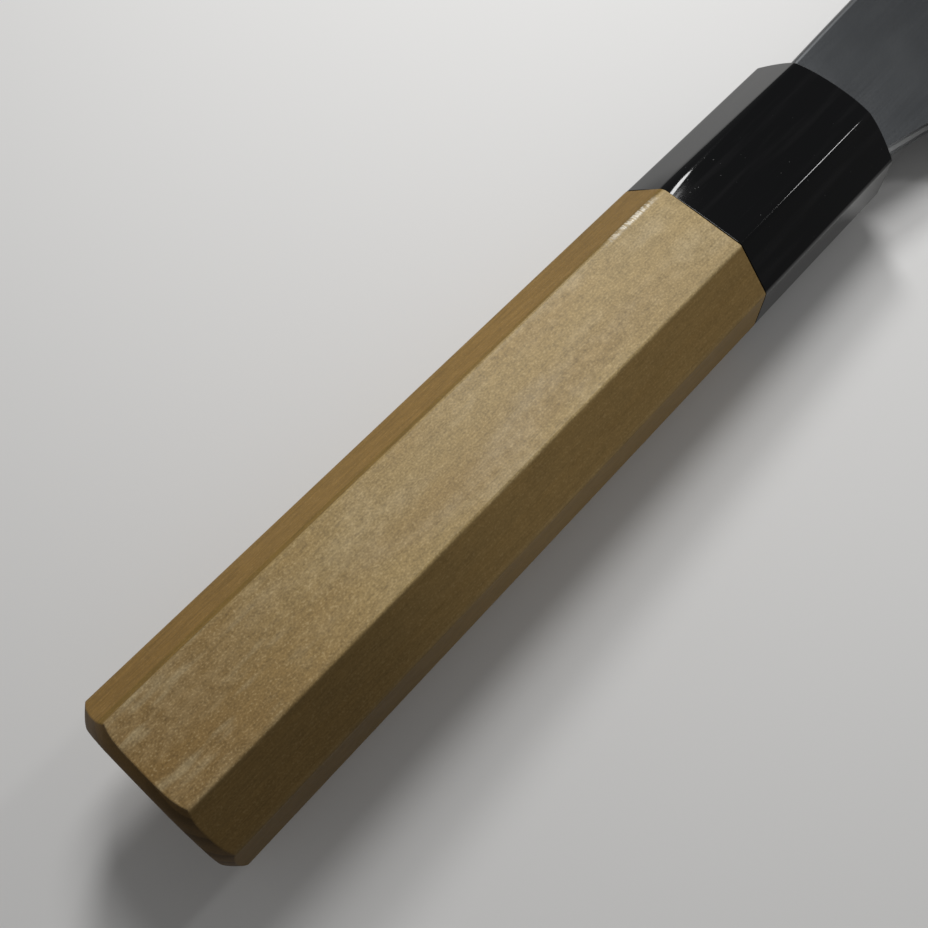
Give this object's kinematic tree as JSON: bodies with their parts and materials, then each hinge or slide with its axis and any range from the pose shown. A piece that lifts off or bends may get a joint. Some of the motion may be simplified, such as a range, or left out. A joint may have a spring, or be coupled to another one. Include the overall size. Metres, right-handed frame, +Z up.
{
  "type": "bunka knife",
  "caption": "Kitchen knife lying on its side: clipped-nose laminated blade with a wide bevel, hidden tang, polished black ferrule and tapered octagonal wooden handle.",
  "frame": {"origin": "on the table under the middle of the lying knife's box", "axes": "+X from the butt to the point of the blade, +Y from the cutting edge to the spine, +Z up out of the right face"},
  "size_m": [0.3184, 0.0484, 0.0279],
  "materials": {
    "core_steel": "polished hard steel, bright along the cutting edge",
    "cladding_steel": "satin grey soft iron",
    "handle_wood": "pale fine-pored wood, sanded and lightly oiled",
    "ferrule_horn": "polished black horn",
    "dowel_wood": "sawn, unfinished",
    "tang_glue": "set amber resin",
    "mouth_seal": "dark filler resin"
  },
  "bodies": {
    "root": {"core_steel": "core_steel", "right_cladding": "cladding_steel", "left_cladding": "cladding_steel", "handle_body": "handle_wood", "ferrule": "ferrule_horn", "tang_dowel": "dowel_wood", "tang_glue": "tang_glue", "mouth_seal": "mouth_seal"}
  },
  "joints": []
}
